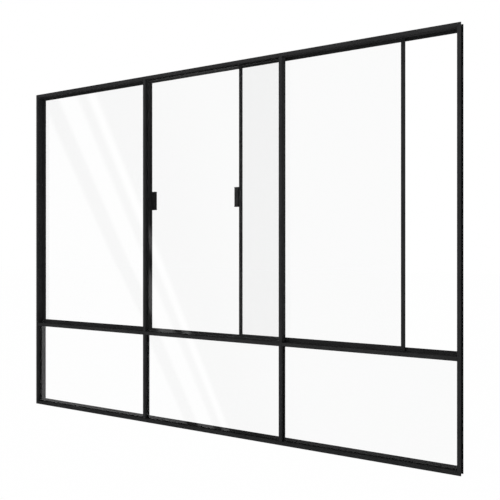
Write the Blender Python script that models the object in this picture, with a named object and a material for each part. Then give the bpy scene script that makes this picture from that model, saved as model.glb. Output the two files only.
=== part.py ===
"""Black window wall with three equal bays in two rows and two slim sliding sashes.

The upper middle bay and the three lower bays hold fixed glass. The upper left and upper right
bays are closed by sashes that run on rollers in a track behind the frame. The left sash is
closed, and the right sash stands partly slid over the middle bay.

X runs to the right from the middle of the width, Y runs from the viewer through the window, and
Z runs up. The origin lies on the outer web of the sill, in the middle of its length and depth.
All sizes are in metres.
"""

import math

import bmesh
import bpy

# Whole window
WINDOW_WIDTH = 3.000
WINDOW_HEIGHT = 2.200
TRANSOM_UNDERSIDE = 0.556
SEAT_GAP = 0.0003
EDGE_ROUND = 0.0006

# Outer frame bars, which are channels open to the outside
FRAME_FACE = 0.020
FRAME_DEPTH = 0.044
FLANGE_THICKNESS = 0.003
WEB_RECESS = 0.009

# Dividing bars
MULLION_FACE = 0.020
TRANSOM_FACE = 0.020

# Fixed glass, the gasket in front of it and the bead behind it
GLASS_THICKNESS = 0.006
GLASS_SETBACK = 0.016
GASKET_THICKNESS = 0.002
GASKET_HEIGHT = 0.002
BEAD_DEPTH = 0.012
BEAD_SLOPE = 0.003
UPPER_BEAD_HEIGHT = 0.010
LOWER_BEAD_HEIGHT = 0.004

# Track behind the frame
TRACK_DEPTH = 0.020
TRACK_INSET = 0.008
TRACK_WALL = 0.003
TRACK_FRONT_LEG = 0.0015
TRACK_LIP = 0.025
TRACK_LIFT = 0.004
TRACK_REAR_WALL = 0.035
RIB_HEIGHT = 0.007
RIB_WIDTH = 0.003
COVER_FOOT = 0.012
COVER_RISE = 0.0225
COVER_NOSE = 0.006

# Sliding sashes
SASH_THICKNESS = 0.012
SASH_RUNNING_GAP = 0.003
SASH_LIFT = 0.005
SASH_HEAD_CLEARANCE = 0.003
SASH_JAMB_CLEARANCE = 0.0045
STILE_ABOVE_RIB = 0.002
SASH_PAST_MULLION = 0.0107
STILE_WIDTH = 0.0195
GLASS_POCKET = 0.008
POCKET_SIDE_GAP = 0.0003
RAIL_WEB = 0.003
ROLLER_WALL = 0.002
RIGHT_SASH_SLIDE = 0.283

# Rollers under each sash
WHEEL_RADIUS = 0.008
WHEEL_FLANGE = 0.0012
WHEEL_SIDE_GAP = 0.0004
WHEEL_TOP_GAP = 0.0005
AXLE_RADIUS = 0.0025
ROLLER_FROM_STILE = 0.120
ROLLER_STEPS = 24

# Pull handles
HANDLE_HEIGHT = 0.114
HANDLE_REACH = 0.033
HANDLE_DEPTH = 0.018
HANDLE_CENTRE = 1.409
HANDLE_ROUND = 0.0025

# Places that follow from the sizes above
FRONT_Y = -FRAME_DEPTH / 2.0
BOTTOM_Z = -WEB_RECESS
TOP_Z = BOTTOM_Z + WINDOW_HEIGHT
HALF_WIDTH = WINDOW_WIDTH / 2.0
BAY_WIDTH = (WINDOW_WIDTH - 2.0 * FRAME_FACE - 2.0 * MULLION_FACE) / 3.0
MULLION_X = BAY_WIDTH / 2.0 + MULLION_FACE / 2.0
SILL_TOP = BOTTOM_Z + FRAME_FACE
HEAD_UNDERSIDE = TOP_Z - FRAME_FACE
TRANSOM_BOTTOM = BOTTOM_Z + TRANSOM_UNDERSIDE
TRANSOM_TOP = TRANSOM_BOTTOM + TRANSOM_FACE
TRACK_FRONT = FRAME_DEPTH + SEAT_GAP
TRACK_REAR = FRAME_DEPTH + TRACK_DEPTH
TRACK_BOTTOM = TRANSOM_BOTTOM + TRACK_LIFT
TRACK_FLOOR = TRACK_BOTTOM + TRACK_WALL
TRACK_TOP = TRACK_BOTTOM + TRACK_REAR_WALL
SASH_FRONT = FRAME_DEPTH + SASH_RUNNING_GAP
SASH_MIDDLE = SASH_FRONT + SASH_THICKNESS / 2.0
SASH_BOTTOM = TRACK_FLOOR + SASH_LIFT
SASH_TOP = TOP_Z - TRACK_INSET - TRACK_WALL - SASH_HEAD_CLEARANCE
SASH_HEIGHT = SASH_TOP - SASH_BOTTOM
SASH_OUTER_X = HALF_WIDTH - TRACK_INSET - TRACK_WALL - SASH_JAMB_CLEARANCE
SASH_INNER_X = BAY_WIDTH / 2.0 - SASH_PAST_MULLION
SASH_WIDTH = SASH_OUTER_X - SASH_INNER_X
WHEEL_CENTRE = RIB_HEIGHT + SEAT_GAP + WHEEL_RADIUS - SASH_LIFT
FLANGE_RADIUS = WHEEL_RADIUS + WHEEL_FLANGE
ROLLER_POCKET = WHEEL_CENTRE + FLANGE_RADIUS + WHEEL_TOP_GAP
STILE_FOOT = RIB_HEIGHT - SASH_LIFT + STILE_ABOVE_RIB
BOTTOM_RAIL_HEIGHT = ROLLER_POCKET + RAIL_WEB + GLASS_POCKET

# Quarter turns about the depth axis that carry a bar from the sill to the other sides
ON_SILL = 0.0
ON_LEFT = math.pi / 2.0
ON_HEAD = math.pi
ON_RIGHT = -math.pi / 2.0


def clear_scene():
    """Remove whatever the scene holds."""
    for thing in list(bpy.data.objects):
        bpy.data.objects.remove(thing, do_unlink=True)


def make_material(name, colour, roughness, metallic, transmission=0.0):
    """One Principled material."""
    material = bpy.data.materials.new(name)
    material.use_nodes = True
    shader = material.node_tree.nodes["Principled BSDF"]
    shader.inputs["Base Color"].default_value = (*colour, 1.0)
    shader.inputs["Roughness"].default_value = roughness
    shader.inputs["Metallic"].default_value = metallic
    shader.inputs["Transmission Weight"].default_value = transmission
    return material


def add_object(name, bm, material, parent, location, turn):
    """Close a bmesh into an object and set it in place."""
    bmesh.ops.recalc_face_normals(bm, faces=bm.faces[:])
    mesh = bpy.data.meshes.new(name)
    bm.to_mesh(mesh)
    bm.free()
    mesh.materials.append(material)
    thing = bpy.data.objects.new(name, mesh)
    bpy.context.collection.objects.link(thing)
    thing.parent = parent
    thing.location = location
    thing.rotation_euler = (0.0, turn, 0.0)
    return thing


def add_empty(name, location):
    """Carrier that holds the pieces of one assembly."""
    carrier = bpy.data.objects.new(name, None)
    bpy.context.collection.objects.link(carrier)
    carrier.location = location
    return carrier


def ease_edges(thing, width, segments=1):
    """Small bevel along every sharp edge."""
    bevel = thing.modifiers.new("eased_edges", "BEVEL")
    bevel.width = width
    bevel.segments = segments
    bevel.limit_method = "ANGLE"
    bevel.angle_limit = math.radians(30.0)
    return bevel


def make_bar(name, section, ends, material, parent, location, turn, mitres=(0.0, 0.0)):
    """Extrude a section of (inward, depth) points along local X.

    Inward runs up local Z and depth runs along local Y. A mitre of 1 cuts that end at 45 degrees.
    """
    bm = bmesh.new()
    near = [bm.verts.new((ends[0], depth, inward)) for inward, depth in section]
    cap = bm.faces.new(near)
    grown = bmesh.ops.extrude_face_region(bm, geom=[cap])
    far = [item for item in grown["geom"] if isinstance(item, bmesh.types.BMVert)]
    bmesh.ops.translate(bm, verts=far, vec=(ends[1] - ends[0], 0.0, 0.0))
    for vert in near:
        vert.co.x += mitres[0] * vert.co.z
    for vert in far:
        vert.co.x -= mitres[1] * vert.co.z
    thing = add_object(name, bm, material, parent, location, turn)
    ease_edges(thing, EDGE_ROUND)
    return thing


def make_ring(name, section, box, material, parent):
    """Carry a section of (inward, depth) points round a rectangle in one closed, mitred ring."""
    left, right, bottom, top = box
    corners = [(left, bottom, 1, 1), (right, bottom, -1, 1), (right, top, -1, -1), (left, top, 1, -1)]
    bm = bmesh.new()
    loops = []
    for x, z, x_sign, z_sign in corners:
        loop = [bm.verts.new((x + x_sign * inward, depth, z + z_sign * inward)) for inward, depth in section]
        loops.append(loop)
    count = len(section)
    for index, loop in enumerate(loops):
        following = loops[(index + 1) % len(loops)]
        for point in range(count):
            after = (point + 1) % count
            bm.faces.new((loop[point], loop[after], following[after], following[point]))
    return add_object(name, bm, material, parent, (0.0, FRONT_Y, 0.0), 0.0)


def make_pane(name, box, front, material, parent, base_y):
    """Flat pane of glass that fills a rectangle, with its edges ground."""
    left, right, bottom, top = box
    section = [(bottom, front), (top, front), (top, front + GLASS_THICKNESS), (bottom, front + GLASS_THICKNESS)]
    return make_bar(name, section, (left, right), material, parent, (0.0, base_y, 0.0), ON_SILL)


def frame_section():
    """Outer frame bar: a front and a rear flange stand out past the recessed web."""
    rear = FRAME_DEPTH - FLANGE_THICKNESS
    return [
        (0.0, 0.0),
        (FRAME_FACE, 0.0),
        (FRAME_FACE, FRAME_DEPTH),
        (0.0, FRAME_DEPTH),
        (0.0, rear),
        (WEB_RECESS, rear),
        (WEB_RECESS, FLANGE_THICKNESS),
        (0.0, FLANGE_THICKNESS),
    ]


def track_section():
    """Head and jamb channel: a short front leg, a web and a deep rear lip."""
    outer = TRACK_INSET
    web = TRACK_INSET + TRACK_WALL
    lip = TRACK_INSET + TRACK_LIP
    return [
        (outer, TRACK_FRONT),
        (FRAME_FACE, TRACK_FRONT),
        (FRAME_FACE, TRACK_FRONT + TRACK_FRONT_LEG),
        (web, TRACK_FRONT + TRACK_FRONT_LEG),
        (web, TRACK_REAR - TRACK_WALL),
        (lip, TRACK_REAR - TRACK_WALL),
        (lip, TRACK_REAR),
        (outer, TRACK_REAR),
    ]


def cover_section():
    """Rear cover of the fixed lower row: its inner side slopes away from the glass."""
    outer = TRACK_INSET
    return [
        (outer, TRACK_FRONT),
        (outer + COVER_FOOT, TRACK_FRONT),
        (outer + COVER_RISE, TRACK_REAR - COVER_NOSE),
        (outer + COVER_RISE, TRACK_REAR),
        (outer, TRACK_REAR),
    ]


def bottom_track_section():
    """Bottom track: floor, short front leg, running rib and tall rear wall, in world height."""
    leg = TRACK_FRONT + TRACK_FRONT_LEG
    wall = TRACK_REAR - TRACK_WALL
    rib_front = SASH_MIDDLE - RIB_WIDTH / 2.0
    rib_rear = SASH_MIDDLE + RIB_WIDTH / 2.0
    return [
        (TRACK_BOTTOM, TRACK_FRONT),
        (TRANSOM_TOP, TRACK_FRONT),
        (TRANSOM_TOP, leg),
        (TRACK_FLOOR, leg),
        (TRACK_FLOOR, rib_front),
        (TRACK_FLOOR + RIB_HEIGHT, rib_front),
        (TRACK_FLOOR + RIB_HEIGHT, rib_rear),
        (TRACK_FLOOR, rib_rear),
        (TRACK_FLOOR, wall),
        (TRACK_TOP, wall),
        (TRACK_TOP, TRACK_REAR),
        (TRACK_BOTTOM, TRACK_REAR),
    ]


def bar_section(face, depth):
    """Plain dividing bar."""
    return [(0.0, 0.0), (face, 0.0), (face, depth), (0.0, depth)]


def gasket_section():
    """Gasket between the frame and the front of the fixed glass."""
    rear = GLASS_SETBACK - SEAT_GAP
    front = rear - GASKET_THICKNESS
    return [
        (SEAT_GAP, front),
        (GASKET_HEIGHT / 2.0, front),
        (GASKET_HEIGHT, rear - GASKET_THICKNESS / 2.0),
        (GASKET_HEIGHT, rear),
        (SEAT_GAP, rear),
    ]


def bead_section(height):
    """Glazing bead behind the fixed glass, with its rear edge sloped down."""
    front = GLASS_SETBACK + GLASS_THICKNESS + SEAT_GAP
    rear = front + BEAD_DEPTH
    return [
        (SEAT_GAP, front),
        (height, front),
        (height, rear - BEAD_SLOPE),
        (height - BEAD_SLOPE, rear),
        (SEAT_GAP, rear),
    ]


def groove_depths():
    """Front and rear side of the glass groove, measured from the sash's front."""
    half = GLASS_THICKNESS / 2.0 + POCKET_SIDE_GAP
    middle = SASH_THICKNESS / 2.0
    return middle - half, middle + half


def sash_section():
    """Stile or top rail: a slim bar with a groove for the glass along its inner edge."""
    front, rear = groove_depths()
    bed = STILE_WIDTH - GLASS_POCKET
    return [
        (0.0, 0.0),
        (STILE_WIDTH, 0.0),
        (STILE_WIDTH, front),
        (bed, front),
        (bed, rear),
        (STILE_WIDTH, rear),
        (STILE_WIDTH, SASH_THICKNESS),
        (0.0, SASH_THICKNESS),
    ]


def bottom_rail_section():
    """Bottom rail: a glass groove above and an open roller channel below."""
    front, rear = groove_depths()
    top = BOTTOM_RAIL_HEIGHT
    bed = top - GLASS_POCKET
    return [
        (0.0, 0.0),
        (top, 0.0),
        (top, front),
        (bed, front),
        (bed, rear),
        (top, rear),
        (top, SASH_THICKNESS),
        (0.0, SASH_THICKNESS),
        (0.0, SASH_THICKNESS - ROLLER_WALL),
        (ROLLER_POCKET, SASH_THICKNESS - ROLLER_WALL),
        (ROLLER_POCKET, ROLLER_WALL),
        (0.0, ROLLER_WALL),
    ]


def make_outer_frame(coat, window):
    """Four channel bars, mitred at the corners."""
    section = frame_section()
    mitre_gap = SEAT_GAP / math.sqrt(2.0)
    across = HALF_WIDTH - mitre_gap
    upright = WINDOW_HEIGHT / 2.0 - mitre_gap
    middle = (BOTTOM_Z + TOP_Z) / 2.0
    both = (1.0, 1.0)
    make_bar("frame_sill", section, (-across, across), coat, window, (0.0, FRONT_Y, BOTTOM_Z), ON_SILL, both)
    make_bar("frame_head", section, (-across, across), coat, window, (0.0, FRONT_Y, TOP_Z), ON_HEAD, both)
    left = (-HALF_WIDTH, FRONT_Y, middle)
    right = (HALF_WIDTH, FRONT_Y, middle)
    make_bar("frame_jamb_left", section, (-upright, upright), coat, window, left, ON_LEFT, both)
    make_bar("frame_jamb_right", section, (-upright, upright), coat, window, right, ON_RIGHT, both)


def make_dividers(coat, window):
    """Two mullions from sill to head and three transoms between the uprights."""
    upright = bar_section(MULLION_FACE, FRAME_DEPTH)
    half = (HEAD_UNDERSIDE - SILL_TOP) / 2.0 - SEAT_GAP
    middle = (HEAD_UNDERSIDE + SILL_TOP) / 2.0
    left = (-MULLION_X - MULLION_FACE / 2.0, FRONT_Y, middle)
    right = (MULLION_X - MULLION_FACE / 2.0, FRONT_Y, middle)
    make_bar("mullion_left", upright, (-half, half), coat, window, left, ON_LEFT)
    make_bar("mullion_right", upright, (-half, half), coat, window, right, ON_LEFT)
    across = bar_section(TRANSOM_FACE, FRAME_DEPTH)
    for name, centre in bay_centres().items():
        reach = BAY_WIDTH / 2.0 - SEAT_GAP
        place = (centre, FRONT_Y, TRANSOM_BOTTOM)
        make_bar("transom_" + name, across, (-reach, reach), coat, window, place, ON_SILL)


def bay_centres():
    """Middle of each bay along X."""
    pitch = BAY_WIDTH + MULLION_FACE
    return {"left": -pitch, "middle": 0.0, "right": pitch}


def make_tracks(coat, window):
    """Head and jamb channels of the upper row, and the bottom track behind the transoms."""
    section = track_section()
    mitre_gap = SEAT_GAP / math.sqrt(2.0)
    across = HALF_WIDTH - mitre_gap
    make_bar("head_track", section, (-across, across), coat, window, (0.0, FRONT_Y, TOP_Z), ON_HEAD, (1.0, 1.0))
    foot = TRACK_TOP + SEAT_GAP
    height = TOP_Z - foot
    left = (-HALF_WIDTH, FRONT_Y, foot)
    right = (HALF_WIDTH, FRONT_Y, foot)
    top = height - mitre_gap
    make_bar("jamb_channel_left", section, (-top, 0.0), coat, window, left, ON_LEFT, (1.0, 0.0))
    make_bar("jamb_channel_right", section, (0.0, top), coat, window, right, ON_RIGHT, (0.0, 1.0))
    reach = HALF_WIDTH - TRACK_INSET
    place = (0.0, FRONT_Y, 0.0)
    make_bar("bottom_track", bottom_track_section(), (-reach, reach), coat, window, place, ON_SILL)


def make_rear_covers(coat, window):
    """Sloped covers behind the sill and the lower part of both jambs."""
    section = cover_section()
    mitre_gap = SEAT_GAP / math.sqrt(2.0)
    across = HALF_WIDTH - mitre_gap
    place = (0.0, FRONT_Y, BOTTOM_Z)
    make_bar("sill_cover", section, (-across, across), coat, window, place, ON_SILL, (1.0, 1.0))
    height = TRACK_BOTTOM - SEAT_GAP - BOTTOM_Z
    left = (-HALF_WIDTH, FRONT_Y, BOTTOM_Z)
    right = (HALF_WIDTH, FRONT_Y, BOTTOM_Z)
    make_bar("jamb_cover_left", section, (-height, -mitre_gap), coat, window, left, ON_LEFT, (0.0, 1.0))
    make_bar("jamb_cover_right", section, (mitre_gap, height), coat, window, right, ON_RIGHT, (1.0, 0.0))


def make_fixed_bay(name, centre, bottom, top, bead_height, looks, window):
    """One fixed pane between its gasket and its glazing bead."""
    half = BAY_WIDTH / 2.0
    box = (centre - half, centre + half, bottom, top)
    inner = (box[0] + SEAT_GAP, box[1] - SEAT_GAP, bottom + SEAT_GAP, top - SEAT_GAP)
    make_pane("glass_" + name, inner, GLASS_SETBACK, looks["glass"], window, FRONT_Y)
    make_ring("gasket_" + name, gasket_section(), box, looks["rubber"], window)
    make_ring("bead_" + name, bead_section(bead_height), box, looks["coat"], window)


def make_fixed_glazing(looks, window):
    """The upper middle pane and the three lower panes."""
    for name, centre in bay_centres().items():
        low = SILL_TOP
        make_fixed_bay("lower_" + name, centre, low, TRANSOM_BOTTOM, LOWER_BEAD_HEIGHT, looks, window)
    make_fixed_bay("upper_middle", 0.0, TRANSOM_TOP, HEAD_UNDERSIDE, UPPER_BEAD_HEIGHT, looks, window)


def roller_profile():
    """Half outline of a grooved wheel with its axle, as (radius, depth) points."""
    half = SASH_THICKNESS / 2.0
    side = half - ROLLER_WALL - WHEEL_SIDE_GAP
    groove = RIB_WIDTH / 2.0 + SEAT_GAP
    return [
        (0.0, -half),
        (AXLE_RADIUS, -half),
        (AXLE_RADIUS, -side),
        (FLANGE_RADIUS, -side),
        (FLANGE_RADIUS, -groove),
        (WHEEL_RADIUS, -groove),
        (WHEEL_RADIUS, groove),
        (FLANGE_RADIUS, groove),
        (FLANGE_RADIUS, side),
        (AXLE_RADIUS, side),
        (AXLE_RADIUS, half),
        (0.0, half),
    ]


def make_roller(name, x, material, sash):
    """Turn the wheel's outline about its axle, which runs through the sash."""
    bm = bmesh.new()
    verts = [bm.verts.new((radius, depth, 0.0)) for radius, depth in roller_profile()]
    edges = [bm.edges.new((verts[i], verts[i + 1])) for i in range(len(verts) - 1)]
    bmesh.ops.spin(
        bm,
        geom=verts + edges,
        cent=(0.0, 0.0, 0.0),
        axis=(0.0, 1.0, 0.0),
        angle=2.0 * math.pi,
        steps=ROLLER_STEPS,
        use_duplicate=False,
    )
    bmesh.ops.remove_doubles(bm, verts=bm.verts[:], dist=0.00001)
    place = (x, SASH_THICKNESS / 2.0, WHEEL_CENTRE)
    return add_object(name, bm, material, sash, place, 0.0)


def cut_axle_hole(rail, x, material, sash):
    """Cut the hole that takes a roller's axle through both walls of the bottom rail."""
    bm = bmesh.new()
    bmesh.ops.create_cone(
        bm,
        cap_ends=True,
        segments=ROLLER_STEPS,
        radius1=AXLE_RADIUS + SEAT_GAP,
        radius2=AXLE_RADIUS + SEAT_GAP,
        depth=2.0 * SASH_THICKNESS,
    )
    for vert in bm.verts:
        vert.co = (vert.co.x, vert.co.z, vert.co.y)
    place = (x, SASH_THICKNESS / 2.0, WHEEL_CENTRE)
    cutter = add_object("cutter_" + rail.name, bm, material, sash, place, 0.0)
    cutter.hide_render = True
    cutter.display_type = "WIRE"
    hole = rail.modifiers.new("axle_hole", "BOOLEAN")
    hole.operation = "DIFFERENCE"
    hole.object = cutter


def make_handle(name, side, material, sash):
    """Block pull on the inner edge of the inner stile, side +1 to the right and -1 to the left."""
    bm = bmesh.new()
    bmesh.ops.create_cube(bm, size=1.0)
    bmesh.ops.scale(bm, verts=bm.verts[:], vec=(HANDLE_REACH, HANDLE_DEPTH, HANDLE_HEIGHT))
    x = side * (SASH_WIDTH / 2.0 + SEAT_GAP + HANDLE_REACH / 2.0)
    height = BOTTOM_Z + HANDLE_CENTRE - SASH_BOTTOM
    pull = add_object(name, bm, material, sash, (x, HANDLE_DEPTH / 2.0, height), 0.0)
    ease_edges(pull, HANDLE_ROUND, 3)
    return pull


def make_sash(name, middle, side, looks):
    """One sliding sash, where side points from the sash to its inner stile."""
    coat = looks["coat"]
    sash = add_empty(name + "_place", (middle, FRONT_Y + SASH_FRONT, SASH_BOTTOM))
    section = sash_section()
    half = SASH_WIDTH / 2.0
    upright = (SASH_HEIGHT - STILE_FOOT) / 2.0
    ends = (-upright, upright)
    left_name = "outer" if side > 0 else "inner"
    right_name = "inner" if side > 0 else "outer"
    left = (-half, 0.0, STILE_FOOT + upright)
    right = (half, 0.0, STILE_FOOT + upright)
    make_bar(name + "_stile_" + left_name, section, ends, coat, sash, left, ON_LEFT)
    make_bar(name + "_stile_" + right_name, section, ends, coat, sash, right, ON_RIGHT)
    reach = half - STILE_WIDTH - SEAT_GAP
    make_bar(name + "_rail_top", section, (-reach, reach), coat, sash, (0.0, 0.0, SASH_HEIGHT), ON_HEAD)
    rail = make_bar(
        name + "_rail_bottom", bottom_rail_section(), (-reach, reach), coat, sash, (0.0, 0.0, 0.0), ON_SILL
    )
    roller_x = half - STILE_WIDTH - ROLLER_FROM_STILE
    for end, x in (("left", -roller_x), ("right", roller_x)):
        cut_axle_hole(rail, x, coat, sash)
        make_roller(name + "_roller_" + end, x, looks["nylon"], sash)
    bed = STILE_WIDTH - GLASS_POCKET + SEAT_GAP
    low = BOTTOM_RAIL_HEIGHT - GLASS_POCKET + SEAT_GAP
    box = (bed - half, half - bed, low, SASH_HEIGHT - bed)
    front = groove_depths()[0] + POCKET_SIDE_GAP
    make_pane(name + "_glass", box, front, looks["glass"], sash, 0.0)
    make_handle(name + "_handle", side, looks["handle"], sash)


def main():
    """Build the whole window."""
    clear_scene()
    looks = {
        "coat": make_material("satin_black_coating", (0.028, 0.029, 0.031), 0.42, 0.0),
        "handle": make_material("handle_black", (0.020, 0.020, 0.022), 0.38, 0.0),
        "rubber": make_material("gasket_rubber", (0.010, 0.010, 0.010), 0.75, 0.0),
        "nylon": make_material("roller_nylon", (0.060, 0.060, 0.060), 0.50, 0.0),
        "glass": make_material("clear_glass", (0.930, 0.960, 0.955), 0.02, 0.0, 1.0),
    }
    window = add_empty("window_place", (0.0, 0.0, 0.0))
    make_outer_frame(looks["coat"], window)
    make_dividers(looks["coat"], window)
    make_tracks(looks["coat"], window)
    make_rear_covers(looks["coat"], window)
    make_fixed_glazing(looks, window)
    closed = (SASH_OUTER_X + SASH_INNER_X) / 2.0
    make_sash("sash_left", -closed, 1.0, looks)
    make_sash("sash_right", closed - RIGHT_SASH_SLIDE, -1.0, looks)


main()
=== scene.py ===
"""Looks of the black window wall with two slim sliding sashes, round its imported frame.

X runs to the right, Y away from the viewer and Z up, in metres.
"""

import math

import bmesh
import bpy
import numpy as np
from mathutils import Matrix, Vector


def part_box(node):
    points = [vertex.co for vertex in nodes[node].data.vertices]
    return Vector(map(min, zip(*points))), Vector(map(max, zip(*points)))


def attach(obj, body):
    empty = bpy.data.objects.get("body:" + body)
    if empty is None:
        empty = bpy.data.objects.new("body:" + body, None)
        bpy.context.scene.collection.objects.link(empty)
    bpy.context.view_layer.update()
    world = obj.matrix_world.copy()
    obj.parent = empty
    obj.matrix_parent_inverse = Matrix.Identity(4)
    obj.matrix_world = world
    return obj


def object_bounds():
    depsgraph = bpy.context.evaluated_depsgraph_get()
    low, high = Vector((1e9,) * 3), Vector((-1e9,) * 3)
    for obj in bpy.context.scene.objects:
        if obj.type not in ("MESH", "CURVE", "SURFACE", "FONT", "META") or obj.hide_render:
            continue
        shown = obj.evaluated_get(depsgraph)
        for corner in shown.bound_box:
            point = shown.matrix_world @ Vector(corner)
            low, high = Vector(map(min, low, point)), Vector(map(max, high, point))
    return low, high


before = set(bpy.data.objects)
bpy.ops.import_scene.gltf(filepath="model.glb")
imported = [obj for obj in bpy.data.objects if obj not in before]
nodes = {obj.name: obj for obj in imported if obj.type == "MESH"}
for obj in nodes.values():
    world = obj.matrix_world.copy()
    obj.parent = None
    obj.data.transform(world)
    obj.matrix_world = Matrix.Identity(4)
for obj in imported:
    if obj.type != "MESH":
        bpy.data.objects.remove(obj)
cad_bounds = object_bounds()

FULL_TURN = 2.0 * math.pi
QUARTER_TURN = math.pi / 2.0

# Seals and brushes, where a brush's size is its width and height
SEAL_REACH = 0.0012
SEAL_HEIGHT = 0.0018
SEAL_STEPS = 9
MULLION_BRUSH = (0.0050, 0.0027)
TRACK_BRUSH = (0.0042, 0.0017)
BRUSH_STEP = 0.001
BRUSH_WAVES = (0.0040, 0.0057, 0.0170)
BRUSH_FROM_EDGE = 0.0045
BRUSH_IN_CHANNEL = 0.021
BRUSH_ABOVE_TRANSOM = 0.003
BRUSH_BELOW_MULLION_TOP = 0.016
BRUSH_ABOVE_CHANNEL_FOOT = 0.004
BRUSH_BELOW_HEAD_TRACK = 0.002
HEAD_BRUSH_INSET = 0.030
BOTTOM_BRUSH_INSET = 0.006
TRACK_WALL = 0.003

# Turned pieces, as radius and height in millimetres
BUFFER_RADII = (4.9, 5.0, 5.0, 4.2, 4.0, 3.8, 3.4, 2.6, 1.4, 0.4)
BUFFER_HEIGHTS = (0.0, 0.1, 0.8, 1.2, 1.7, 2.7, 3.5, 4.0, 4.2, 4.25)
BUFFER_STEPS = 32
BUFFER_PLACES = (0.80, 1.95)
CAP_RADII = (4.6, 4.7, 4.6, 4.3, 3.4, 3.0, 1.5, 0.4)
CAP_HEIGHTS = (-0.2, 0.2, 0.6, 0.8, 0.8, 0.55, 0.5, 0.5)
CAP_STEPS = 36
CAP_ABOVE_TRACK = 0.020

# Screws
SCREW_RADIUS = 0.0029
SCREW_DOME = 0.00035
SCREW_RECESS = 0.0011
SCREW_DEPTH = 0.0013
SCREW_RINGS = 14
SCREW_STEPS = 48
TOP_SCREW_DROP = 0.0055
BOTTOM_SCREW_DROP = 0.0115
PULL_SCREW_INSET = 0.014

# Caps on the pulls' ends
END_CORNER = 0.0014
END_EDGE = 0.0011
END_PROUD = 0.0014
END_LAP = 0.004
END_OVER = 0.0002
END_STEPS = 40

# Camera, and its directions as the upright panes mirror them
CAMERA_PLACE = (2.39253, -3.38777, 1.08615)
CAMERA_TURN = 31.898
CAMERA_LENS = 49.570
MIRRORED_RIGHT = (0.8490, -0.5284, 0.0)
MIRRORED_AHEAD = (-0.5284, -0.8490, 0.0)

# Bright bands that the panes mirror: place across the fan and level
BAND_ACROSS = (5.102, -4.831, 3.071)
BAND_SPREAD = (-0.2564, -0.4120, 0.3236)
BAND_STEPS = (
    (-0.05, 0.85), (0.05, 0.03), (0.24, 0.03), (0.34, 0.90), (0.60, 0.90), (0.70, 0.05),
    (0.79, 0.05), (0.89, 1.00), (0.95, 1.00), (1.05, 0.05), (1.40, 0.06), (3.00, 0.35),
)
DARK_STRIP = (-0.0174, 0.0407)
DARK_STRIP_FOOT = -0.14
LEAST_MIRRORED = 0.09

# Levels of the surroundings and the floor
LIGHT_FROM_BEHIND = 0.45
LIGHT_FROM_ABOVE = 0.45
LIGHT_FROM_RIGHT = 0.10
MIRRORED_LEVEL = 0.04
MIRRORED_REAR_GLOW = 0.13
FLOOR_GLOW = 0.98
FLOOR_SEEN = 1.009
FLOOR_MIRRORED = 0.05
FLOOR_REACH = 30.0
FLOOR_GAP = 0.0005


# Shader node helpers

def add_node(tree, kind, **settings):
    """New node with its plain settings."""
    node = tree.nodes.new(kind)
    for key, value in settings.items():
        setattr(node, key, value)
    return node


def feed(tree, target, source):
    """Link a socket, or set the value of an unlinked one."""
    if isinstance(source, bpy.types.NodeSocket):
        tree.links.new(source, target)
    else:
        target.default_value = source


def math_node(tree, operation, first, second=0.0, third=0.0, clamp=False):
    """Result of one sum on values or sockets."""
    node = add_node(tree, "ShaderNodeMath", operation=operation, use_clamp=clamp)
    for socket, source in zip(node.inputs, (first, second, third)):
        feed(tree, socket, source)
    return node.outputs[0]


def ramp_between(tree, value, low, high, out_low=0.0, out_high=1.0):
    """Smooth step of a value from low to high."""
    node = add_node(tree, "ShaderNodeMapRange", interpolation_type="SMOOTHSTEP", clamp=True)
    for index, source in enumerate((value, low, high, out_low, out_high)):
        feed(tree, node.inputs[index], source)
    return node.outputs[0]


def noise_at(tree, vector, scale, detail=2.0, roughness=0.5):
    """Noise value at a vector, with the scale in waves per metre."""
    node = add_node(tree, "ShaderNodeTexNoise")
    feed(tree, node.inputs["Vector"], vector)
    node.inputs["Scale"].default_value = scale
    node.inputs["Detail"].default_value = detail
    node.inputs["Roughness"].default_value = roughness
    return node.outputs["Fac"]


def mix_colours(tree, factor, first, second):
    """Mix of two colours, each a socket or three numbers, by a factor."""
    node = add_node(tree, "ShaderNodeMix", data_type="RGBA")
    feed(tree, node.inputs["Factor"], factor)
    for label, colour in (("A", first), ("B", second)):
        feed(tree, node.inputs[label], (*colour, 1.0) if isinstance(colour, tuple) else colour)
    return node.outputs["Result"]


def scaled_by(tree, vector, scale):
    """Vector times a value."""
    node = add_node(tree, "ShaderNodeVectorMath", operation="SCALE")
    tree.links.new(vector, node.inputs[0])
    tree.links.new(scale, node.inputs["Scale"])
    return node.outputs[0]


def dot_with(tree, vector, other):
    """Dot product of a vector with another one or with three numbers."""
    node = add_node(tree, "ShaderNodeVectorMath", operation="DOT_PRODUCT")
    tree.links.new(vector, node.inputs[0])
    feed(tree, node.inputs[1], other)
    return node.outputs["Value"]


def parts_of(tree, vector):
    """X, Y and Z of a vector."""
    node = add_node(tree, "ShaderNodeSeparateXYZ")
    tree.links.new(vector, node.inputs[0])
    return node.outputs


def object_point(tree):
    """Object coordinates in metres."""
    return add_node(tree, "ShaderNodeTexCoord").outputs["Object"]


def new_group(name, inputs, outputs):
    """Empty shader node group with float inputs and outputs."""
    group = bpy.data.node_groups.new(name, "ShaderNodeTree")
    for label, value in inputs.items():
        socket = group.interface.new_socket(label, in_out="INPUT", socket_type="NodeSocketFloat")
        socket.default_value = value
    for label in outputs:
        group.interface.new_socket(label, in_out="OUTPUT", socket_type="NodeSocketFloat")
    return group, group.nodes.new("NodeGroupInput"), group.nodes.new("NodeGroupOutput")


def use_group(tree, group, **values):
    """Place a group in a material with this material's own values."""
    node = add_node(tree, "ShaderNodeGroup", node_tree=group)
    for label, value in values.items():
        node.inputs[label.replace("_", " ")].default_value = value
    return node.outputs


# Effects that several finishes share

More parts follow.
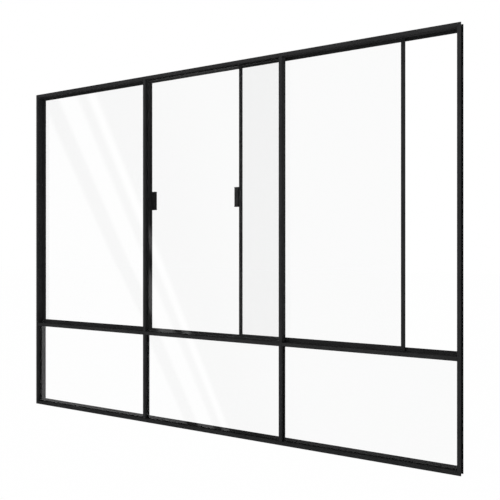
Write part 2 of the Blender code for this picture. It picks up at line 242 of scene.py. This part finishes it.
def build_powder_grain():
    """Fine orange peel of a sprayed coat: height from two noises, and a slow cloud of tone."""
    group, given, result = new_group(
        "powder_grain", {"Grain Scale": 900.0, "Cloud Scale": 9.0}, ("Height", "Cloud")
    )
    point = object_point(group)
    grain_point = scaled_by(group, point, given.outputs["Grain Scale"])
    coarse = noise_at(group, grain_point, 1.0, 1.0)
    fine = noise_at(group, grain_point, 3.1, 2.0)
    height = math_node(group, "MULTIPLY_ADD", fine, 0.35, coarse)
    cloud = noise_at(group, scaled_by(group, point, given.outputs["Cloud Scale"]), 1.0, 3.0)
    group.links.new(height, result.inputs["Height"])
    group.links.new(cloud, result.inputs["Cloud"])
    return group


def build_edge_wear_and_highlight():
    """Mask of sharp edges, for wear and painted highlight: where the normal rounded over a small radius
    leaves the face's own.
    """
    group, given, result = new_group("edge_wear_and_highlight", {"Radius": 0.0015, "Amount": 1.0}, ("Mask",))
    rounded = add_node(group, "ShaderNodeBevel", samples=4)
    group.links.new(given.outputs["Radius"], rounded.inputs["Radius"])
    own = add_node(group, "ShaderNodeNewGeometry").outputs["True Normal"]
    edge = ramp_between(group, dot_with(group, rounded.outputs[0], own), 0.995, 0.90)
    broken = ramp_between(group, noise_at(group, object_point(group), 60.0, 4.0, 0.7), 0.45, 0.62)
    mask = math_node(group, "MULTIPLY", edge, broken)
    mask = math_node(group, "MULTIPLY", mask, given.outputs["Amount"], clamp=True)
    group.links.new(mask, result.inputs["Mask"])
    return group


def build_settled_dust():
    """Thin dust where a face looks up, broken by noise."""
    group, given, result = new_group("settled_dust", {"Amount": 0.5}, ("Mask",))
    own = add_node(group, "ShaderNodeNewGeometry").outputs["Normal"]
    up = ramp_between(group, parts_of(group, own)["Z"], 0.35, 0.95)
    patch = ramp_between(group, noise_at(group, object_point(group), 25.0, 4.0, 0.65), 0.30, 0.75)
    mask = math_node(group, "MULTIPLY", up, patch)
    mask = math_node(group, "MULTIPLY", mask, given.outputs["Amount"], clamp=True)
    group.links.new(mask, result.inputs["Mask"])
    return group


def build_painted_channel_shade():
    """Mask of painted shade on the outer frame's recessed back: past the web's outer face, between the
    flanges.
    """
    group, given, result = new_group("painted_channel_shade", {"Amount": 1.0}, ("Mask",))
    place = parts_of(group, object_point(group))
    beside = ramp_between(group, math_node(group, "ABSOLUTE", place["X"]), 1.4906, 1.4909)
    above = ramp_between(group, place["Z"], 2.1816, 2.1819)
    below = ramp_between(group, place["Z"], 0.0004, 0.0001)
    between = ramp_between(group, math_node(group, "ABSOLUTE", place["Y"]), 0.0199, 0.0195)
    mask = math_node(group, "MAXIMUM", math_node(group, "MAXIMUM", beside, above), below)
    mask = math_node(group, "MULTIPLY", mask, between)
    mask = math_node(group, "MULTIPLY", mask, given.outputs["Amount"], clamp=True)
    group.links.new(mask, result.inputs["Mask"])
    return group


powder_grain = build_powder_grain()
edge_wear_and_highlight = build_edge_wear_and_highlight()
settled_dust = build_settled_dust()
painted_channel_shade = build_painted_channel_shade()


# Finishes

def new_finish(name):
    """Material with its tree and its main shader."""
    finish = bpy.data.materials.new(name)
    finish.use_nodes = True
    return finish, finish.node_tree, finish.node_tree.nodes["Principled BSDF"]


def add_relief(tree, shader, height, strength, distance):
    """Bump of a height, in metres, on a shader's normal."""
    relief = add_node(tree, "ShaderNodeBump")
    relief.inputs["Strength"].default_value = strength
    relief.inputs["Distance"].default_value = distance
    tree.links.new(height, relief.inputs["Height"])
    tree.links.new(relief.outputs["Normal"], shader.inputs["Normal"])


def satin_coat(name, dark, light, worn_and_lit_edge, roughness, grain_scale, bump, wear, dust, gloss=0.5):
    """Powder coat: speckled dark tone, orange peel, paler edges for wear and painted highlight, and a
    little dust on top faces.

    The recessed back of the outer frame gets a deeper black: painted shade in the channel.
    """
    finish, tree, shader = new_finish(name)
    grain = use_group(tree, powder_grain, Grain_Scale=grain_scale, Cloud_Scale=9.0)
    edges = use_group(tree, edge_wear_and_highlight, Radius=0.0014, Amount=wear)["Mask"]
    film = use_group(tree, settled_dust, Amount=dust)["Mask"]
    # Mask of painted shade in the outer frame's channel
    channel_shade_mask = use_group(tree, painted_channel_shade, Amount=0.8)["Mask"]
    cloud = ramp_between(tree, grain["Cloud"], 0.30, 0.70)
    speck = ramp_between(tree, grain["Height"], 0.55, 0.80)
    shade = math_node(tree, "MULTIPLY_ADD", speck, 0.5, math_node(tree, "MULTIPLY", cloud, 0.5))
    tone = mix_colours(tree, shade, dark, light)
    # Paler edges: wear, and a painted highlight where edges would catch light
    tone = mix_colours(tree, edges, tone, worn_and_lit_edge)
    tone = mix_colours(tree, film, tone, (0.115, 0.112, 0.106))
    # Painted shade: near black on the outer frame's recessed back
    tone = mix_colours(tree, channel_shade_mask, tone, (0.0060, 0.0060, 0.0063))
    tree.links.new(tone, shader.inputs["Base Color"])
    shader.inputs["Specular IOR Level"].default_value = gloss
    rough = math_node(tree, "MULTIPLY_ADD", cloud, 0.06, roughness - 0.03)
    rough = math_node(tree, "MULTIPLY_ADD", channel_shade_mask, 0.30, rough)
    rough = math_node(tree, "MULTIPLY_ADD", film, 0.30, rough)
    rough = math_node(tree, "MULTIPLY_ADD", edges, -0.08, rough)
    tree.links.new(rough, shader.inputs["Roughness"])
    add_relief(tree, shader, grain["Height"], 0.6, bump)
    return finish


def soft_rubber(name):
    """Extruded rubber: matt black with a faint bloom and a fine grain."""
    finish, tree, shader = new_finish(name)
    grain = use_group(tree, powder_grain, Grain_Scale=1600.0, Cloud_Scale=30.0)
    film = use_group(tree, settled_dust, Amount=0.35)["Mask"]
    tone = mix_colours(tree, grain["Cloud"], (0.012, 0.012, 0.012), (0.024, 0.024, 0.024))
    tone = mix_colours(tree, film, tone, (0.10, 0.098, 0.092))
    tree.links.new(tone, shader.inputs["Base Color"])
    rough = math_node(tree, "MULTIPLY_ADD", grain["Cloud"], 0.20, 0.62)
    tree.links.new(rough, shader.inputs["Roughness"])
    add_relief(tree, shader, grain["Height"], 0.4, 0.00008)
    return finish


def moulded_nylon(name):
    """Moulded nylon of rollers and caps: clouded dark grey with paler rubbed edges."""
    finish, tree, shader = new_finish(name)
    grain = use_group(tree, powder_grain, Grain_Scale=1200.0, Cloud_Scale=60.0)
    edges = use_group(tree, edge_wear_and_highlight, Radius=0.0008, Amount=0.8)["Mask"]
    tone = mix_colours(tree, grain["Cloud"], (0.045, 0.045, 0.047), (0.075, 0.075, 0.078))
    tone = mix_colours(tree, edges, tone, (0.16, 0.16, 0.16))
    tree.links.new(tone, shader.inputs["Base Color"])
    rough = math_node(tree, "MULTIPLY_ADD", grain["Cloud"], 0.15, 0.40)
    tree.links.new(rough, shader.inputs["Roughness"])
    return finish


def woven_pile(name):
    """Brush pile: fine fibres and tufts from two noises, dark grey with a soft sheen."""
    finish, tree, shader = new_finish(name)
    point = object_point(tree)
    fibre = noise_at(tree, point, 2600.0, 2.0, 0.6)
    tuft = noise_at(tree, point, 420.0, 1.0)
    mixed = math_node(tree, "MULTIPLY_ADD", tuft, 0.5, math_node(tree, "MULTIPLY", fibre, 0.5))
    fade = ramp_between(tree, mixed, 0.35, 0.65)
    tone = mix_colours(tree, fade, (0.008, 0.008, 0.008), (0.030, 0.030, 0.031))
    tree.links.new(tone, shader.inputs["Base Color"])
    shader.inputs["Roughness"].default_value = 0.95
    shader.inputs["Sheen Weight"].default_value = 0.15
    add_relief(tree, shader, mixed, 0.8, 0.0002)
    return finish


def blacked_steel(name):
    """Blacked steel of small screws: clouded dark metal with bright worn edges."""
    finish, tree, shader = new_finish(name)
    grain = use_group(tree, powder_grain, Grain_Scale=2400.0, Cloud_Scale=180.0)
    edges = use_group(tree, edge_wear_and_highlight, Radius=0.0003, Amount=0.9)["Mask"]
    tone = mix_colours(tree, grain["Cloud"], (0.030, 0.030, 0.032), (0.060, 0.060, 0.063))
    tone = mix_colours(tree, edges, tone, (0.22, 0.22, 0.23))
    tree.links.new(tone, shader.inputs["Base Color"])
    shader.inputs["Metallic"].default_value = 0.85
    rough = math_node(tree, "MULTIPLY_ADD", grain["Height"], 0.18, 0.30)
    tree.links.new(rough, shader.inputs["Roughness"])
    return finish


def clear_glass(name):
    """Float glass: clear faces with the faintest film, which let light pass on to the floor."""
    finish, tree, shader = new_finish(name)
    haze = ramp_between(tree, noise_at(tree, object_point(tree), 3.0, 5.0, 0.6), 0.45, 0.80)
    tone = mix_colours(tree, haze, (0.9985, 1.0, 0.9993), (0.9965, 0.9985, 0.9977))
    tree.links.new(tone, shader.inputs["Base Color"])
    shader.inputs["Roughness"].default_value = 0.0
    shader.inputs["Metallic"].default_value = 0.0
    shader.inputs["Transmission Weight"].default_value = 1.0
    shader.inputs["IOR"].default_value = 1.40
    shader.inputs["Specular IOR Level"].default_value = 0.5
    passing = add_node(tree, "ShaderNodeBsdfTransparent")
    passing.inputs["Color"].default_value = (0.93, 0.95, 0.94, 1.0)
    path = add_node(tree, "ShaderNodeLightPath")
    either = add_node(tree, "ShaderNodeMixShader")
    tree.links.new(path.outputs["Is Shadow Ray"], either.inputs[0])
    tree.links.new(shader.outputs[0], either.inputs[1])
    tree.links.new(passing.outputs[0], either.inputs[2])
    tree.links.new(either.outputs[0], tree.nodes["Material Output"].inputs["Surface"])
    return finish


coat = satin_coat(
    "satin_black_coat", dark=(0.0185, 0.0188, 0.0197), light=(0.0335, 0.0339, 0.0351),
    worn_and_lit_edge=(0.060, 0.060, 0.062), roughness=0.50, grain_scale=900.0, bump=0.00010, wear=0.35, dust=0.06,
)
# Painted shade: a darker copy of the black coat for the covers and lower beads seen behind the glass
shaded_black_coat = satin_coat(
    "satin_black_coat_painted_shade", dark=(0.0050, 0.0051, 0.0053), light=(0.0080, 0.0081, 0.0084),
    worn_and_lit_edge=(0.022, 0.022, 0.023), roughness=0.55, grain_scale=900.0, bump=0.00010, wear=0.25,
    dust=0.03, gloss=0.25,
)
pull_coat = satin_coat(
    "satin_black_pull", dark=(0.0060, 0.0060, 0.0064), light=(0.0085, 0.0085, 0.0090),
    worn_and_lit_edge=(0.035, 0.035, 0.037), roughness=0.42, grain_scale=1400.0, bump=0.00005, wear=0.50,
    dust=0.05, gloss=0.25,
)
rubber = soft_rubber("gasket_rubber")
pile = woven_pile("grey_black_pile")
screw_steel = blacked_steel("blacked_screw_steel")
nylon = moulded_nylon("roller_nylon")
glass = clear_glass("clear_float_glass")


def finish_for(name):
    """Finish of a solid, from the words in its name."""
    words = {
        "glass": glass, "gasket": rubber, "roller": nylon, "handle": pull_coat,
        "cover": shaded_black_coat, "bead_lower": shaded_black_coat,
    }
    fitting = [finish for word, finish in words.items() if word in name]
    return fitting[0] if fitting else coat


for node_name, node in nodes.items():
    for material_slot in node.material_slots:
        material_slot.material = finish_for(node_name)


# Small pieces that the solids leave out: seals, brushes, buffers, caps and screws

def wrap_faces(rows, columns, closed):
    """Quads of a grid of points whose columns wrap round, and whose rows do too where closed."""
    row = np.arange(rows if closed else rows - 1)[:, None]
    column = np.arange(columns)[None, :]
    above, after = (row + 1) % rows, (column + 1) % columns
    corners = (
        row * columns + column, row * columns + after, above * columns + after, above * columns + column,
    )
    return np.stack(np.broadcast_arrays(*corners), axis=-1).reshape(-1, 4)


def add_piece(name, shells, finish):
    """One mesh of several shells, each a grid of points; an open grid gets a cap at either end."""
    faces, offset = [], 0
    for points, closed in shells:
        rows, columns = points.shape[:2]
        last = offset + (rows - 1) * columns
        faces += (wrap_faces(rows, columns, closed) + offset).tolist()
        if not closed:
            faces.append(list(range(offset, offset + columns))[::-1])
            faces.append(list(range(last, last + columns)))
        offset += rows * columns
    verts = np.vstack([points.reshape(-1, 3) for points, closed in shells])
    mesh = bpy.data.meshes.new(name)
    mesh.from_pydata(verts.tolist(), [], faces)
    shell = bmesh.new()
    shell.from_mesh(mesh)
    bmesh.ops.recalc_face_normals(shell, faces=shell.faces)
    shell.to_mesh(mesh)
    shell.free()
    mesh.materials.append(finish)
    piece = bpy.data.objects.new(name, mesh)
    bpy.context.collection.objects.link(piece)
    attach(piece, "root")


def stile_boxes(sash):
    """Boxes of a sash's two stiles, the left one first."""
    boxes = [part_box(sash + "_stile_outer"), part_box(sash + "_stile_inner")]
    return sorted(boxes, key=lambda box: box[0][0])


def glass_seal(opening, face_y, outward):
    """Rubber bead round a pane: a quarter ellipse in the corner between the glass and the sash.

    The section's points are (reach cos t, height sin t) for t from 0 to 90 degrees, and the
    corner itself. They go round the opening with mitred corners.
    """
    left, right, low, high = opening
    t = np.linspace(0.0, QUARTER_TURN, SEAL_STEPS)
    inward = np.append(SEAL_REACH * np.cos(t), 0.0)
    proud = np.append(SEAL_HEIGHT * np.sin(t), 0.0)
    corner = np.array([[left, low], [right, low], [right, high], [left, high]])
    towards = np.array([[1.0, 1.0], [-1.0, 1.0], [-1.0, -1.0], [1.0, -1.0]])
    points = np.empty((4, inward.size, 3))
    points[..., 0] = corner[:, :1] + towards[:, :1] * inward
    points[..., 1] = face_y + outward * proud
    points[..., 2] = corner[:, 1:] + towards[:, 1:] * inward
    return points, True


def make_glass_seals(sash):
    """Front and rear rubber beads round a sash's pane."""
    left, right = stile_boxes(sash)
    low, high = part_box(sash + "_rail_bottom")[1][2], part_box(sash + "_rail_top")[0][2]
    opening = (left[1][0], right[0][0], low, high)
    front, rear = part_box(sash + "_glass")
    shells = [glass_seal(opening, front[1], -1.0), glass_seal(opening, rear[1], 1.0)]
    add_piece(sash + "_glass_seals", shells, rubber)


def brush_strip(start, end, out, size):
    """Brush seal from start to end: a flat backing that carries a rippled ridge of pile.

    Across the strip the section is a closed outline of ten points. Along it the pile's half
    thickness is 0.28 w (1 + 0.18 sin a + 0.10 sin b) and its height is h (0.93 + 0.04 sin a +
    0.03 sin c), with waves a, b and c that are 4.0, 5.7 and 17 mm long.
    """
    width, height = size
    start, end, out = (np.array(item, float) for item in (start, end, out))
    length = float(np.linalg.norm(end - start))
    along = (end - start) / length
    side = np.cross(along, out)
    s = np.linspace(0.0, length, int(length / BRUSH_STEP))
    wave_a, wave_b, wave_c = (
        np.sin(s * FULL_TURN / wave + shift) for wave, shift in zip(BRUSH_WAVES, (0.0, 1.3, 0.4))
    )
    half = 0.28 * width * (1.0 + 0.18 * wave_a + 0.10 * wave_b)
    tall = height * (0.93 + 0.04 * wave_a + 0.03 * wave_c)
    edge, base, zero = np.full(s.size, width / 2.0), np.full(s.size, 0.16 * height), np.zeros(s.size)
    across = np.stack(
        [-edge, edge, edge, half, half * 0.9, half * 0.5, half * -0.5, half * -0.9, -half, -edge], axis=1
    )
    up = np.stack([zero, zero, base, base, tall * 0.75, tall, tall, tall * 0.75, base, base], axis=1)
    return start + s[:, None, None] * along + across[..., None] * side + up[..., None] * out, False


def make_upright_brushes(side, inward):
    """Brush seals on a mullion's rear face, and inside the jamb channel on the same side."""
    bar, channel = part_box("mullion_" + side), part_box("jamb_channel_" + side)
    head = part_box("head_track")
    inner_edge = bar[1][0] if inward > 0.0 else bar[0][0]
    x, y = inner_edge - inward * BRUSH_FROM_EDGE, bar[1][1]
    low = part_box("transom_middle")[1][2] + BRUSH_ABOVE_TRANSOM
    high = bar[1][2] - BRUSH_BELOW_MULLION_TOP
    strip = brush_strip((x, y, low), (x, y, high), (0.0, 1.0, 0.0), MULLION_BRUSH)
    add_piece("brush_mullion_" + side, [strip], pile)
    outer_edge = channel[0][0] if inward > 0.0 else channel[1][0]
    x, y = outer_edge + inward * BRUSH_IN_CHANNEL, head[1][1] - TRACK_WALL
    low, high = channel[0][2] + BRUSH_ABOVE_CHANNEL_FOOT, head[0][2] - BRUSH_BELOW_HEAD_TRACK
    strip = brush_strip((x, y, low), (x, y, high), (0.0, -1.0, 0.0), TRACK_BRUSH)
    add_piece("brush_jamb_" + side, [strip], pile)


def make_level_brush(name, z, inset):
    """Brush seal along the rear wall of the head or bottom track, at a height."""
    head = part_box("head_track")
    reach, y = head[1][0] - inset, head[1][1] - TRACK_WALL
    strip = brush_strip((-reach, y, z), (reach, y, z), (0.0, -1.0, 0.0), TRACK_BRUSH)
    add_piece(name, [strip], pile)


def round_shell(centre, out, radius, height, turn=0.0):
    """Rings of points about an axis, from arrays of radius and height over rings and angles."""
    angle = np.linspace(0.0, FULL_TURN, radius.shape[1], endpoint=False) + turn
    out = np.array(out, float)
    up = np.array([0.0, 0.0, 1.0])
    round_way = np.cos(angle)[None, :, None] * np.cross(out, up) + np.sin(angle)[None, :, None] * up
    return np.array(centre, float) + radius[..., None] * round_way + height[..., None] * out, False


def turned_shell(centre, out, radii, heights, count):
    """Turned shape from radii and heights in millimetres, with a count of steps round it."""
    steps = np.full(count, 0.001)
    return round_shell(centre, out, np.outer(radii, steps), np.outer(heights, steps))


def screw_shell(centre, out, turn):
    """Countersunk screw head with a cross recess, on a polar grid of rings.

    With r from 0 to 1 the height is 0.35 mm (1 - 0.6 r^2), less 1.1 mm within a cross whose arms
    are 0.26 wide and 0.62 long, with softened sides. A last ring closes the head below the face.
    """
    r = np.append(0.04, np.linspace(0.10, 1.0, SCREW_RINGS))[:, None] * np.ones(SCREW_STEPS)
    angle = np.linspace(0.0, FULL_TURN, SCREW_STEPS, endpoint=False)
    arm = np.minimum(np.abs(r * np.cos(angle)), np.abs(r * np.sin(angle)))
    cross = np.clip((0.15 - arm) / 0.05, 0.0, 1.0) * np.clip((0.66 - r) / 0.08, 0.0, 1.0)
    height = SCREW_DOME * (1.0 - 0.6 * r ** 2) - SCREW_RECESS * cross
    radius = SCREW_RADIUS * np.vstack([r, r[-1:] * 0.98])
    height = np.vstack([height, np.full((1, SCREW_STEPS), -SCREW_DEPTH)])
    return round_shell(centre, out, radius, height, turn)


def end_cap(low, high, z, out):
    """Moulded cap over a pull's end: a rounded rectangle whose outer edge is rounded off.

    The outline goes round four corner arcs of 1.4 mm radius, 0.2 mm outside the pull. The wall
    starts 4 mm below the end and stands 1.4 mm past it, and its last 1.1 mm is drawn in on a
    quarter circle.
    """
    turn = np.linspace(0.0, FULL_TURN, END_STEPS, endpoint=False)
    quarter = np.floor(turn / QUARTER_TURN).astype(int)
    sign_x, sign_y = np.array([1, -1, -1, 1])[quarter], np.array([1, 1, -1, -1])[quarter]
    half_x = (high[0] - low[0]) / 2.0 + END_OVER - END_CORNER
    half_y = (high[1] - low[1]) / 2.0 + END_OVER - END_CORNER
    arc = np.linspace(0.0, QUARTER_TURN, 7)
    rise = np.append(-END_LAP, END_PROUD - END_EDGE + END_EDGE * np.sin(arc))
    reach = np.append(END_CORNER, END_CORNER - END_EDGE + END_EDGE * np.cos(arc))[:, None]
    points = np.empty((rise.size, turn.size, 3))
    points[..., 0] = (low[0] + high[0]) / 2.0 + sign_x * half_x + reach * np.cos(turn)
    points[..., 1] = (low[1] + high[1]) / 2.0 + sign_y * half_y + reach * np.sin(turn)
    points[..., 2] = z + out * rise[:, None]
    return points, False


def make_buffers(side, inward):
    """Rubber stops on a jamb channel's web, where a closing sash meets them."""
    stile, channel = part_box("sash_left_stile_outer"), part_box("jamb_channel_" + side)
    y = (stile[0][1] + stile[1][1]) / 2.0
    x = (channel[0][0] if inward > 0.0 else channel[1][0]) + inward * TRACK_WALL
    out = (inward, 0.0, 0.0)
    shells = [
        turned_shell((x, y, z), out, BUFFER_RADII, BUFFER_HEIGHTS, BUFFER_STEPS) for z in BUFFER_PLACES
    ]
    add_piece("buffers_" + side, shells, rubber)


def make_corner_screws(sash):
    """Screws through the stiles' outer edges into the rails, one at each corner of a sash."""
    left, right = stile_boxes(sash)
    y = (left[0][1] + left[1][1]) / 2.0
    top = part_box(sash + "_rail_top")[1][2] - TOP_SCREW_DROP
    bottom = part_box(sash + "_rail_bottom")[1][2] - BOTTOM_SCREW_DROP
    shells = [screw_shell((left[0][0], y, z), (-1.0, 0.0, 0.0), z * 9.0) for z in (top, bottom)]
    shells += [screw_shell((right[1][0], y, z), (1.0, 0.0, 0.0), z * 7.0) for z in (top, bottom)]
    add_piece(sash + "_corner_screws", shells, screw_steel)


def make_roller_caps(sash):
    """Cover caps low on the stiles' rear faces, over the rollers' adjusting screws."""
    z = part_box("bottom_track")[1][2] + CAP_ABOVE_TRACK
    places = [((box[0][0] + box[1][0]) / 2.0, box[1][1], z) for box in stile_boxes(sash)]
    out = (0.0, 1.0, 0.0)
    shells = [turned_shell(place, out, CAP_RADII, CAP_HEIGHTS, CAP_STEPS) for place in places]
    add_piece(sash + "_roller_caps", shells, nylon)


def make_pull_fittings(sash):
    """Caps on both ends of a pull, and two screws in its rear face."""
    low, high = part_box(sash + "_handle")
    caps = [end_cap(low, high, low[2], -1.0), end_cap(low, high, high[2], 1.0)]
    add_piece(sash + "_pull_ends", caps, pull_coat)
    x, y = (low[0] + high[0]) / 2.0, high[1]
    heights = (low[2] + PULL_SCREW_INSET, high[2] - PULL_SCREW_INSET)
    screws = [screw_shell((x, y, z), (0.0, 1.0, 0.0), z * 5.0) for z in heights]
    add_piece(sash + "_pull_screws", screws, screw_steel)


SASHES = ("sash_left", "sash_right")
SIDES = (("left", 1.0), ("right", -1.0))

for sash_name in SASHES:
    make_glass_seals(sash_name)
for side_name, inward_way in SIDES:
    make_upright_brushes(side_name, inward_way)
make_level_brush("brush_head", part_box("head_track")[0][2] + BRUSH_FROM_EDGE, HEAD_BRUSH_INSET)
make_level_brush("brush_bottom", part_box("bottom_track")[1][2] - BRUSH_FROM_EDGE, BOTTOM_BRUSH_INSET)
for side_name, inward_way in SIDES:
    make_buffers(side_name, inward_way)
for sash_name in SASHES:
    make_corner_screws(sash_name)
    make_roller_caps(sash_name)
    make_pull_fittings(sash_name)


# Stage: floor, white surroundings, lamps and camera

def looked_at(tree, forward):
    """How a ray came here: seen straight or through glass, mirrored in anything, or in a pane.

    A pane's own mirroring is perfectly sharp, passes little glass and comes from the front,
    where the given Y value is below nought.
    """
    path = add_node(tree, "ShaderNodeLightPath").outputs
    bounces = math_node(tree, "ADD", path["Diffuse Depth"], path["Glossy Depth"])
    seen = math_node(tree, "LESS_THAN", bounces, 0.5)
    sharp = math_node(tree, "LESS_THAN", path["Diffuse Depth"], 0.5)
    mirrored = math_node(tree, "SUBTRACT", sharp, seen)
    outside = math_node(tree, "LESS_THAN", path["Transmission Depth"], 2.5)
    in_pane = math_node(tree, "MULTIPLY", path["Is Singular Ray"], mirrored)
    in_pane = math_node(tree, "MULTIPLY", in_pane, outside)
    in_pane = math_node(tree, "MULTIPLY", in_pane, math_node(tree, "LESS_THAN", forward, 0.0))
    return seen, mirrored, in_pane


def band_level(tree, way):
    """Fan of soft bright bands, as two linear forms' quotient.

    One form of the direction grows across the bands and the other one holds their width, so each
    band is a straight strip in the picture and all of them run to one far point.
    """
    place = math_node(tree, "DIVIDE", dot_with(tree, way, BAND_ACROSS), dot_with(tree, way, BAND_SPREAD))
    low, high = BAND_STEPS[0][0], BAND_STEPS[-1][0]
    share = math_node(tree, "MULTIPLY_ADD", place, 1.0 / (high - low), -low / (high - low), clamp=True)
    steps = add_node(tree, "ShaderNodeValToRGB")
    ramp = steps.color_ramp
    ramp.elements[0].color = (BAND_STEPS[0][1],) * 3 + (1.0,)
    ramp.elements[1].color = (BAND_STEPS[-1][1],) * 3 + (1.0,)
    for where, level in BAND_STEPS[1:-1]:
        element = ramp.elements.new((where - low) / (high - low))
        element.color = (level,) * 3 + (1.0,)
    tree.links.new(share, steps.inputs["Fac"])
    return steps.outputs["Color"]


def window_light(tree, way):
    """Level that the panes mirror: the bands, less a dark strip above the transom."""
    ahead = dot_with(tree, way, MIRRORED_AHEAD)
    beside = math_node(tree, "DIVIDE", dot_with(tree, way, MIRRORED_RIGHT), ahead)
    steep = math_node(tree, "DIVIDE", parts_of(tree, way)["Z"], ahead)
    left = math_node(tree, "LESS_THAN", beside, DARK_STRIP[0])
    right = math_node(tree, "GREATER_THAN", beside, DARK_STRIP[1])
    low = math_node(tree, "LESS_THAN", steep, DARK_STRIP_FOOT)
    lit = math_node(tree, "MAXIMUM", math_node(tree, "MAXIMUM", left, right), low)
    lit = math_node(tree, "MULTIPLY", band_level(tree, way), lit)
    return math_node(tree, "MAXIMUM", lit, LEAST_MIRRORED)


def pale_floor():
    """Floor finish: pale grey for the light it casts, and white where it is seen but for shadow."""
    finish, tree, shader = new_finish("pale_floor")
    shader.inputs["Base Color"].default_value = (0.80, 0.80, 0.80, 1.0)
    shader.inputs["Roughness"].default_value = 0.9
    shader.inputs["Specular IOR Level"].default_value = 0.0
    point = object_point(tree)
    seen, mirrored, in_pane = looked_at(tree, parts_of(tree, point)["Y"])
    share = math_node(tree, "MAXIMUM", seen, mirrored)
    share = math_node(tree, "MULTIPLY", share, FLOOR_GLOW)
    from_mirror = add_node(tree, "ShaderNodeVectorMath", operation="SUBTRACT")
    tree.links.new(point, from_mirror.inputs[0])
    from_mirror.inputs[1].default_value = (CAMERA_PLACE[0], -CAMERA_PLACE[1], CAMERA_PLACE[2])
    bright = math_node(tree, "MULTIPLY_ADD", seen, FLOOR_SEEN - FLOOR_MIRRORED, FLOOR_MIRRORED)
    bright = math_node(tree, "MULTIPLY_ADD", in_pane, window_light(tree, from_mirror.outputs[0]), bright)
    glow = add_node(tree, "ShaderNodeEmission")
    glow.inputs["Color"].default_value = (1.0, 1.0, 1.0, 1.0)
    tree.links.new(bright, glow.inputs["Strength"])
    either = add_node(tree, "ShaderNodeMixShader")
    tree.links.new(share, either.inputs[0])
    tree.links.new(shader.outputs[0], either.inputs[1])
    tree.links.new(glow.outputs[0], either.inputs[2])
    tree.links.new(either.outputs[0], tree.nodes["Material Output"].inputs["Surface"])
    return finish


def make_floor():
    """Wide floor, a flat grid of nine points at the height of the window's lower edge."""
    across = np.linspace(-FLOOR_REACH, FLOOR_REACH, 3)
    x, y = np.meshgrid(across, across)
    verts = np.column_stack([x.ravel(), y.ravel(), np.full(x.size, cad_bounds[0][2] - FLOOR_GAP)])
    first = np.array([0, 1, 3, 4])[:, None]
    quads = first + np.array([0, 1, 4, 3])
    mesh = bpy.data.meshes.new("floor")
    mesh.from_pydata(verts.tolist(), [], quads.tolist())
    mesh.materials.append(pale_floor())
    floor = bpy.data.objects.new("floor", mesh)
    bpy.context.collection.objects.link(floor)


def make_world():
    """White surroundings for what is looked at or through; softer, directional light for the rest."""
    world = bpy.data.worlds.new("white_studio")
    bpy.context.scene.world = world
    world.use_nodes = True
    tree = world.node_tree
    back = tree.nodes["Background"]
    way = add_node(tree, "ShaderNodeTexCoord").outputs["Generated"]
    parts = parts_of(tree, way)
    seen, mirrored, in_pane = looked_at(tree, parts["Y"])
    ambient = ramp_between(tree, parts["Y"], -0.6, 0.6, 1.0, LIGHT_FROM_BEHIND)
    above = ramp_between(tree, parts["Z"], 0.2, 1.0, 1.0, LIGHT_FROM_ABOVE)
    beside = ramp_between(tree, parts["X"], 0.0, 0.9, 1.0, LIGHT_FROM_RIGHT)
    ambient = math_node(tree, "MULTIPLY", ambient, above)
    ambient = math_node(tree, "MULTIPLY", ambient, beside)
    behind = ramp_between(tree, parts["Y"], 0.0, 0.4)
    rear_glow = ramp_between(tree, parts["X"], -0.45, -0.85, 0.0, MIRRORED_REAR_GLOW)
    rear_glow = math_node(tree, "MULTIPLY_ADD", rear_glow, behind, MIRRORED_LEVEL)
    level = math_node(tree, "SUBTRACT", 1.0, mirrored)
    level = math_node(tree, "MULTIPLY", level, ambient)
    level = math_node(tree, "MULTIPLY_ADD", mirrored, rear_glow, level)
    level = math_node(tree, "MULTIPLY", level, math_node(tree, "SUBTRACT", 1.0, in_pane))
    level = math_node(tree, "MULTIPLY_ADD", in_pane, window_light(tree, way), level)
    level = math_node(tree, "MAXIMUM", level, seen)
    tree.links.new(level, back.inputs["Strength"])
    back.inputs["Color"].default_value = (1.0, 1.0, 1.0, 1.0)


def add_lamp(name, place, aim, size, power):
    """Soft square lamp that faces a point; panes and coats don't mirror its outline."""
    lamp = bpy.data.lights.new(name, "AREA")
    lamp.shape = "RECTANGLE"
    lamp.size, lamp.size_y = size
    lamp.energy = power
    holder = bpy.data.objects.new(name, lamp)
    holder.visible_glossy = False
    holder.visible_transmission = False
    bpy.context.collection.objects.link(holder)
    holder.location = place
    away = [a - b for a, b in zip(place, aim)]
    tilt = math.atan2(math.hypot(away[0], away[1]), away[2])
    holder.rotation_euler = (tilt, 0.0, math.atan2(away[0], -away[1]))


def make_camera():
    """Level camera at the photograph's place, to the right of the window."""
    lens = bpy.data.cameras.new("camera")
    lens.sensor_width = 36.0
    lens.lens = CAMERA_LENS
    lens.clip_end = 200.0
    camera = bpy.data.objects.new("camera", lens)
    bpy.context.collection.objects.link(camera)
    camera.location = CAMERA_PLACE
    camera.rotation_euler = (QUARTER_TURN, 0.0, math.radians(CAMERA_TURN))
    bpy.context.scene.camera = camera


make_floor()
make_world()
add_lamp("lamp_high_left", (-2.5, -6.5, 5.5), (0.0, 0.0, 1.0), (3.0, 3.0), 120.0)
add_lamp("lamp_right", (3.5, -6.5, 3.2), (0.0, 0.0, 1.0), (2.5, 3.0), 6.0)
make_camera()

bpy.context.scene.view_settings.view_transform = "Standard"
